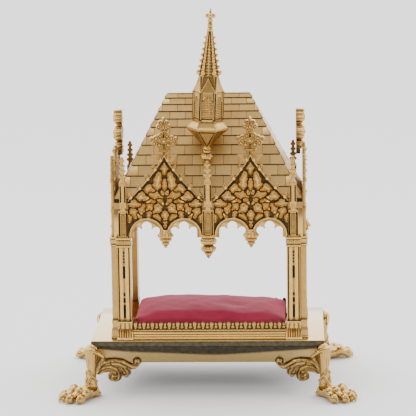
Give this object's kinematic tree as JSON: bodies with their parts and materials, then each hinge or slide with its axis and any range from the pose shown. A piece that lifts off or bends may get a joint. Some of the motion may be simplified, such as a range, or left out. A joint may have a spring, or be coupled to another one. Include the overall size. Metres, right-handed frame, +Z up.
{
  "type": "monstrance",
  "caption": "Gilt brass shrine-shaped monstrance: a pinnacled Gothic canopy with a steep roof and spired turret over a velvet cushion, on a plinth with paw feet.",
  "frame": {"origin": "on the table under the middle of the plinth and feet, at the lowest point", "axes": "+Z up; the front with the turret faces -Y; +X to the viewer's right"},
  "size_m": [0.334, 0.238, 0.4323],
  "materials": {
    "polished_brass": "polished, faintly scratched",
    "cast_brass": "gilded casting, burnished on the high points and dark in the recesses",
    "roof_brass": "satin gilt sheet stamped with courses",
    "dull_brass": "unpolished, toned orange brown",
    "fixings": "plain turned brass",
    "velvet": "crimson velvet",
    "board": "thin plain board"
  },
  "bodies": {
    "shrine": {"base_top_plate": "polished_brass", "base_skirt_front": "polished_brass", "base_skirt_back": "polished_brass", "base_skirt_left": "polished_brass", "base_skirt_right": "polished_brass", "foot_front_left": "cast_brass", "foot_front_right": "cast_brass", "foot_back_left": "cast_brass", "foot_back_right": "cast_brass", "foot_screws": "fixings", "post_front_left": "cast_brass", "post_front_right": "cast_brass", "post_back_left": "cast_brass", "post_back_right": "cast_brass", "post_rods": "fixings", "post_nuts": "fixings", "rail_front": "cast_brass", "rail_back": "cast_brass", "rail_left": "cast_brass", "rail_right": "cast_brass", "gallery_front": "cast_brass", "gallery_back": "cast_brass", "gallery_left": "cast_brass", "gallery_right": "cast_brass", "buttress_front_left": "cast_brass", "buttress_front_right": "cast_brass", "buttress_back_left": "cast_brass", "buttress_back_right": "cast_brass", "mid_buttress_front": "cast_brass", "mid_buttress_back": "cast_brass", "gable_front_left": "cast_brass", "gable_front_right": "cast_brass", "gable_back_left": "cast_brass", "gable_back_right": "cast_brass", "gable_left": "cast_brass", "gable_right": "cast_brass", "finial_front_left": "cast_brass", "finial_front_right": "cast_brass", "finial_back_left": "cast_brass", "finial_back_right": "cast_brass", "finial_left": "cast_brass", "finial_right": "cast_brass", "eaves_bar_front": "dull_brass", "eaves_bar_back": "dull_brass", "eaves_bar_left": "dull_brass", "eaves_bar_right": "dull_brass", "gable_screws": "fixings", "roof_front": "roof_brass", "roof_back": "roof_brass", "roof_left": "roof_brass", "roof_right": "roof_brass", "turret_knob": "cast_brass", "turret_corbel": "cast_brass", "turret_body": "cast_brass", "turret_spire": "cast_brass", "turret_finial": "cast_brass", "turret_tie_rod": "fixings", "turret_stay": "fixings"},
    "cushion": {"cushion": "velvet", "cushion_board": "board"}
  },
  "joints": [
    {"name": "cushion_lift", "type": "slide", "parent": "shrine", "child": "cushion", "axis": [0, 0, 1], "range_m": [0, 0.05]}
  ]
}
